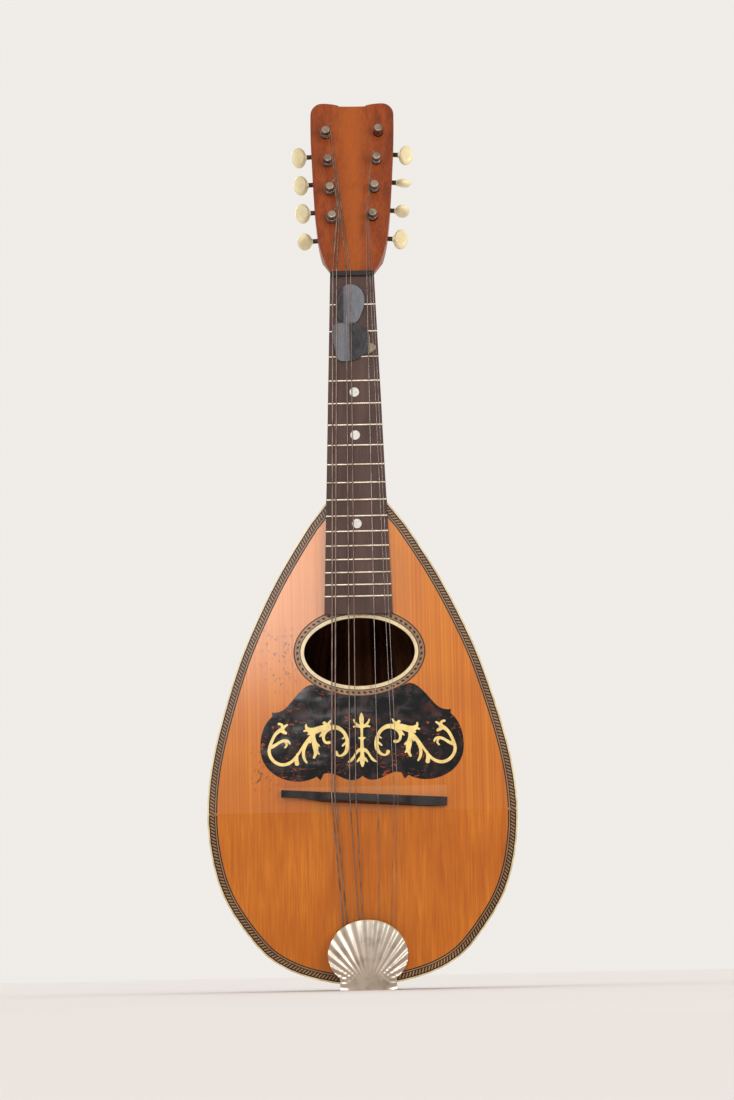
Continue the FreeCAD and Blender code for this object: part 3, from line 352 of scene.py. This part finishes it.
def wound_string():
    """Wire with a fine winding over its core."""
    wrap_pitch = 0.36 * MM
    finish = Finish("wound_wire", metallic=1.0)
    turns = finish.bands(finish.scaled(1.0, 1.0, wrap_pitch), "Z")
    grime = finish.noise(finish.scaled(2 * MM, 2 * MM, 9 * MM), detail=3.0)
    colour = finish.ramp(grime, (0.35, (0.17, 0.12, 0.1)), (0.65, (0.38, 0.29, 0.25)))
    # The dark colour in the grooves between the wraps is painted shade.
    finish.set("Base Color", finish.mix(finish.between(turns, 0.0, 0.5), (0.08, 0.055, 0.045), colour))
    finish.set("Roughness", finish.between(grime, 0.3, 0.7, 0.3, 0.5))
    finish.bump(turns, 0.4, 0.06 * MM)
    return finish


def plectrum():
    """Two dark plectra, each with a painted reflection as a pale grey patch on one side, and a tan one
    behind them.
    """
    upper_painted_reflection = ((-5.5 * MM, 20 * MM), (421.8 * MM, 460 * MM))
    lower_painted_reflection = ((-20 * MM, -2.5 * MM), (390 * MM, 421.8 * MM))
    tan_from_x = 9.8 * MM
    finish = Finish("plectrum_celluloid", specular_ior_level=0.2)
    cloud = finish.noise(finish.scaled(6 * MM, 6 * MM, 6 * MM), detail=4.0)
    worn = finish.noise(finish.scaled(0.6 * MM, 0.6 * MM, 5 * MM), detail=2.0)
    dark = finish.ramp(cloud, (0.35, (0.008, 0.007, 0.009)), (0.7, (0.035, 0.03, 0.034)))
    # The pale grey patches on one side of each dark plectrum are a painted reflection of the lamp,
    # streaked by the worn noise.
    upper = finish.patch(*upper_painted_reflection, 1.2 * MM)
    lower = finish.patch(*lower_painted_reflection, 0.7 * MM)
    pale = finish.ramp(worn, (0.3, (0.09, 0.095, 0.11)), (0.7, (0.16, 0.17, 0.19)))
    colour = finish.mix(finish.math("ADD", upper, lower), dark, pale)
    tan = finish.between(finish.axis("X"), tan_from_x, tan_from_x + 0.4 * MM)
    finish.set("Base Color", finish.mix(tan, colour, (0.26, 0.19, 0.13)))
    finish.set("Roughness", finish.between(worn, 0.3, 0.7, 0.25, 0.45))
    finish.bump(worn, 0.1, 0.04 * MM)
    return finish


spruce_top = spruce()
bowl_wood = rib_wood()
neck_finish = wood("neck_hardwood", (0.2, 0.06, 0.022), (0.085, 0.024, 0.01), grain=(1.0, 1.0, 22.0))
ebony = wood("ebonised_wood", (0.03, 0.026, 0.026), (0.008, 0.007, 0.007), grain=(6.0, 0.8, 0.8),
             pores=0.5, roughness=0.4, coat=0.0)
nut_wood = wood("nut_wood", (0.022, 0.018, 0.017), (0.007, 0.006, 0.006), grain=(5.0, 0.8, 0.8),
                roughness=0.4, coat=0.0)
fingerboard = wood("fingerboard_wood", (0.1, 0.054, 0.044), (0.042, 0.022, 0.018),
                   grain=(0.6, 0.6, 9.0), figure=(10.0, 10.0, 40.0), pores=0.6, roughness=0.42, coat=0.0)
inner_wood = wood("bare_inner_wood", (0.5, 0.33, 0.17), (0.33, 0.2, 0.1), roughness=0.6, coat=0.0)
tan_wood = wood("tan_purfling", (0.34, 0.19, 0.085), (0.2, 0.1, 0.042), grain=(0.8, 0.8, 6.0), coat=0.25)
dark_wood = wood("dark_purfling", (0.02, 0.011, 0.008), (0.006, 0.004, 0.003), grain=(0.8, 0.8, 6.0),
                 coat=0.05)
cream_trim = celluloid("cream_binding", (0.66, 0.54, 0.3), (0.4, 0.28, 0.12))
inlay_cream = celluloid("inlay_celluloid", (0.78, 0.6, 0.19), (0.56, 0.38, 0.09), blotch=4.0)
button_cream = celluloid("button_celluloid", (0.8, 0.72, 0.45), (0.72, 0.6, 0.34), blotch=7.0)
nickel = metal("aged_nickel", (0.58, 0.52, 0.44), (0.4, 0.34, 0.27), roughness=(0.3, 0.42))
post_nickel = metal("post_nickel", (0.34, 0.28, 0.22), (0.13, 0.09, 0.065), roughness=(0.3, 0.45))
steel = metal("dark_steel", (0.06, 0.045, 0.038), (0.025, 0.016, 0.012), roughness=(0.4, 0.6))
brass = metal("aged_brass", (0.62, 0.44, 0.19), (0.26, 0.17, 0.08), roughness=(0.25, 0.45))
fret_metal = metal("fret_metal", (0.68, 0.6, 0.46), (0.38, 0.3, 0.2), roughness=(0.25, 0.4))
plain_wire = metal("plain_wire", (0.26, 0.22, 0.21), (0.12, 0.1, 0.09), scratches=(0.2, 0.2, 2.4))
wound_wire = wound_string()

node_finishes = {
    "soundboard": spruce_top, "bowl_ribs": bowl_wood, "tail_clasp": bowl_wood, "neck": neck_finish,
    "headstock": head_wood(), "bridge": ebony, "nut": nut_wood, "fretboard": fingerboard,
    "end_blocks": inner_wood, "linings": inner_wood, "braces": inner_wood, "bindings": cream_trim,
    "purflings": tan_wood, "scratchplate": tortoiseshell(), "scroll_inlay": inlay_cream,
    "fret_markers": pearl(), "frets": fret_metal, "tailpiece_base": nickel, "tailpiece_cover": nickel,
    "tuner_plate_left": nickel, "tuner_plate_right": nickel, "mounting_screws": steel,
    "strings_g": wound_wire, "strings_d": wound_wire, "strings_a": plain_wire, "strings_e": plain_wire,
    "plectra": plectrum()}
tuner_finishes = {"button": button_cream, "worm_shaft": steel, "post": post_nickel, "gear": brass}

for name, node in frame["nodes"].items():
    kind = name.split("_left_")[0].split("_right_")[0]
    finish = node_finishes.get(name) or tuner_finishes[kind]
    for slot in node.material_slots:
        slot.material = finish.material


# ---------------------------------------------------------------- new pieces

def piece(name, shape, body, finish, smooth=False):
    """One mesh piece that rides on a body."""
    vertices, faces = shape
    mesh = bpy.data.meshes.new(name)
    mesh.from_pydata([tuple(v) for v in vertices], [], faces)
    mesh.validate()
    mesh.polygons.foreach_set("use_smooth", [smooth] * len(mesh.polygons))
    mesh.materials.append(finish.material)
    made = bpy.data.objects.new(name, mesh)
    bpy.context.scene.collection.objects.link(made)
    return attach(made, body)


def loft(rings, closed=False):
    """Vertices and faces of a skin over equal rings of points; open lofts get end caps."""
    size = len(rings[0])
    vertices = [v for ring in rings for v in ring]
    faces = []
    spans = len(rings) if closed else len(rings) - 1
    for r in range(spans):
        a = r * size
        b = (r + 1) % len(rings) * size
        for i in range(size):
            j = (i + 1) % size
            faces.append((a + i, a + j, b + j, b + i))
    if not closed:
        faces.append(tuple(reversed(range(size))))
        faces.append(tuple(range(len(vertices) - size, len(vertices))))
    return vertices, faces


def joined(*shapes):
    """Several (vertices, faces) as one."""
    vertices, faces = [], []
    for shape_vertices, shape_faces in shapes:
        offset = len(vertices)
        vertices += shape_vertices
        faces += [tuple(i + offset for i in face) for face in shape_faces]
    return vertices, faces


def tube(points, radius):
    """Round wire along a list of points."""
    rings = []
    across = Vector((0.3, 0.9, 0.2))
    for i, point in enumerate(points):
        along = (points[min(i + 1, len(points) - 1)] - points[max(i - 1, 0)]).normalized()
        across = (across - along * across.dot(along)).normalized()
        up = along.cross(across)
        turns = [2 * math.pi * k / wire_sides for k in range(wire_sides)]
        rings.append([point + (across * math.cos(t) + up * math.sin(t)) * radius for t in turns])
    return loft(rings)


# Purfling: dark lines and rope dashes let into the tan band round the edge and the soundhole

def edge_half_widths():
    """(z, half width) up the body's edge, measured on the binding's outer wall."""
    beside_x = 0.2
    behind_front = 0.6 * MM
    mesh = frame["nodes"]["bindings"].data
    tree = BVHTree.FromPolygons([v.co for v in mesh.vertices], [p.vertices for p in mesh.polygons])
    found = []
    for i in range(1, edge_steps + 1):
        z = tail_z + (edge_top_z - tail_z) * (i / edge_steps) ** 2
        start = Vector((beside_x, board_y(z) + behind_front, z))
        hit = tree.ray_cast(start, Vector((-1, 0, 0)))[0]
        if hit:
            found.append((z, hit.x))
    return found


def edge_track():
    """Front-view points down the left edge, round the tail and up the right edge."""
    right = edge_half_widths()
    left = [(-x, z) for z, x in reversed(right)]
    return left + [(0.0, tail_z)] + [(x, z) for z, x in right]


edge_points = edge_track()


def edge_inset(distance):
    """The edge moved inwards."""
    moved = []
    last = len(edge_points) - 1
    for i, (x, z) in enumerate(edge_points):
        x0, z0 = edge_points[max(i - 1, 0)]
        x1, z1 = edge_points[min(i + 1, last)]
        length = math.hypot(x1 - x0, z1 - z0)
        moved.append((x - (z1 - z0) / length * distance, z + (x1 - x0) / length * distance))
    return moved


def ring_grown(distance):
    """The soundhole's oval moved outwards."""
    a, b = (half + distance for half in hole_half_axes)
    turns = [2 * math.pi * i / ring_steps for i in range(ring_steps)]
    return [(a * math.cos(t), hole_z + b * math.sin(t)) for t in turns]


def on_board(point, height):
    """A front-view point, at a height above the soundboard's front."""
    x, z = point
    return Vector((x, board_y(z) - height, z))


def line_strip(track, start, end, closed):
    """Thin strip between two distances from a track."""
    rings = []
    for a, b in zip(track(start), track(end)):
        rings.append([on_board(a, proud), on_board(b, proud), on_board(b, -sunk), on_board(a, -sunk)])
    return loft(rings, closed)


def dashes(track, start, end, pitch, share, slant, closed):
    """Slanted dashes between two distances from a track. A dash fills its share of each pitch."""
    first_gap = 0.2                    # before the first dash, in pitches
    sides = [track(start), track(end)]
    if closed:
        sides = [side + side[:1] for side in sides]
    middle = [((a[0] + b[0]) / 2, (a[1] + b[1]) / 2) for a, b in zip(*sides)]
    run = [0.0]
    for a, b in zip(middle, middle[1:]):
        run.append(run[-1] + math.hypot(b[0] - a[0], b[1] - a[1]))

    def at(side, distance):
        """The point of one side at a distance along the band."""
        distance = min(max(distance, 0.0), run[-1] - 1e-9)
        i = next(k for k in range(1, len(run)) if run[k] > distance)
        t = (distance - run[i - 1]) / (run[i] - run[i - 1])
        return tuple(p + (q - p) * t for p, q in zip(side[i - 1], side[i]))

    inner, outer = sides
    count = int(run[-1] / pitch)
    step = run[-1] / count
    shapes = []
    for k in range(count):
        low = (k + first_gap) * step
        high = low + share * step
        corners = [at(inner, low), at(outer, low + slant), at(outer, high + slant), at(inner, high)]
        front = [on_board(c, rope_proud) for c in corners]
        back = [on_board(c, -sunk) for c in corners]
        shapes.append(loft([front, back]))
    return joined(*shapes)


edge_strips = ((1.0, 1.7), (4.3, 4.8), (5.5, 6.2))
ring_strips = ((2.2, 2.75), (5.9, 6.6))
lines = [line_strip(edge_inset, a * MM, b * MM, closed=False) for a, b in edge_strips]
lines += [line_strip(ring_grown, a * MM, b * MM, closed=True) for a, b in ring_strips]
edge_rope = dashes(edge_inset, 1.7 * MM, 4.3 * MM, pitch=2.1 * MM, share=0.48, slant=1.6 * MM,
                   closed=False)
ring_rope = dashes(ring_grown, 3.5 * MM, 4.9 * MM, pitch=3.6 * MM, share=0.5, slant=0.7 * MM, closed=True)
piece("purfling_lines", joined(*lines), "body", dark_wood)
piece("purfling_rope", joined(edge_rope, ring_rope), "body", dark_wood)


# Strings wound on the posts: post, string radius in mm and turns round the post

windings = (
    ("left_1", 0.46, 3.2), ("left_2", 0.46, 3.2), ("left_3", 0.32, 4.2), ("left_4", 0.32, 4.2),
    ("right_1", 0.15, 7.2), ("right_2", 0.15, 9.2), ("right_3", 0.2, 6.2))
side_wires = {"left": (wound_wire, "string_wound"), "right": (plain_wire, "string_steel")}
joints = {joint["name"]: joint for joint in frame["joints"]}


def cut_end(hole, axis, side, other, radius):
    """End of a string, sticking out of the hole across its post and bending away."""
    along = (2.2, 2.9, 3.7, 4.5, 5.3, 6.1)     # mm from the post's axis
    bend_sideways = 0.12
    bend_upwards = 0.05
    points = []
    for t in along:
        bend = side * bend_sideways + axis * bend_upwards
        points.append(hole + (other * t + bend * t * t) * MM)
    return tube(points, radius)


def winding(post, radius, turns):
    """Wire coiled down a post from where its string arrives, and its cut end above the coil."""
    joint = joints["post_turn_" + post]
    axis = Vector(joint["axis"])
    inward = 1 if post.startswith("left") else -1
    side = Vector((inward, 0, 0))
    side = (side - axis * side.dot(axis)).normalized()
    other = axis.cross(side) * inward
    face = Vector(joint["pos_m"]) + axis * face_above_axis_point
    top = face + axis * string_end_height
    reach = post_radius + radius + coil_gap
    steps = int(turns * coil_steps)
    coil = []
    for i in range(steps + 1):
        turn = turns * i / steps
        angle = 2 * math.pi * (turn + coil_start)
        outwards = side * math.cos(angle) - other * math.sin(angle)
        coil.append(top + outwards * reach - axis * (coil_pitch * radius * turn))
    end = cut_end(face + axis * string_hole_height, axis, side, other, radius * 0.8)
    return joined(tube(coil, radius), end)


for post, radius, turns in windings:
    wire, slot = side_wires[post.split("_")[0]]
    piece("winding_" + post, winding(post, radius * MM, turns), "post_" + post, wire, smooth=True)


# ---------------------------------------------------------------- camera, floor and light

def camera():
    """Low camera in front, looking up a little, as far away as a portrait lens."""
    forward = Vector((0, math.cos(camera_pitch), math.sin(camera_pitch)))
    level_right = Vector((1, 0, 0))
    level_up = Vector((0, -math.sin(camera_pitch), math.cos(camera_pitch)))
    right = level_right * math.cos(camera_roll) - level_up * math.sin(camera_roll)
    up = level_up * math.cos(camera_roll) + level_right * math.sin(camera_roll)
    data = bpy.data.cameras.new("camera")
    data.sensor_fit = "VERTICAL"
    data.sensor_height = sensor_height
    data.lens = camera_lens
    made = bpy.data.objects.new("camera", data)
    bpy.context.scene.collection.objects.link(made)
    place = Matrix((right, up, -forward)).transposed().to_4x4()
    place.translation = camera_aim - forward * camera_distance
    made.matrix_world = place
    return made


def area_light(name, place, size, power, colour, leave_out):
    """Square lamp that faces the instrument and leaves a collection dark."""
    data = bpy.data.lights.new(name, "AREA")
    data.size = size
    data.energy = power
    data.color = colour
    made = bpy.data.objects.new(name, data)
    bpy.context.scene.collection.objects.link(made)
    made.location = place
    made.rotation_euler = (Vector(lamp_aim) - Vector(place)).to_track_quat("-Z", "Y").to_euler()
    made.light_linking.receiver_collection = leave_out


def floor():
    """Large pale floor, lit by the room only."""
    half = floor_half_size
    corners = ((-half, -half), (half, -half), (half, half), (-half, half))
    finish = Finish("pale_floor", roughness=0.9, specular_ior_level=0.1)
    cloud = finish.noise(finish.scaled(0.5, 0.5, 0.5))
    finish.set("Base Color", finish.ramp(cloud, (0.3, (0.95, 0.92, 0.9)), (0.7, (0.98, 0.95, 0.93))))
    mesh = bpy.data.meshes.new("floor")
    mesh.from_pydata([(x, y, floor_z) for x, y in corners], [], [(0, 1, 2, 3)])
    mesh.materials.append(finish.material)
    made = bpy.data.objects.new("floor", mesh)
    bpy.context.scene.collection.objects.link(made)
    return made


bpy.context.scene.camera = camera()
unlit = bpy.data.collections.new("lamps_leave_out")
unlit.objects.link(floor())
unlit.collection_objects[0].light_linking.link_state = "EXCLUDE"
for lamp in lamps:
    area_light(*lamp, unlit)

world = bpy.data.worlds.new("studio")
world.use_nodes = True
world.node_tree.nodes["Background"].inputs["Color"].default_value = (*room_colour, 1.0)
bpy.context.scene.world = world
bpy.context.scene.view_settings.view_transform = "Standard"
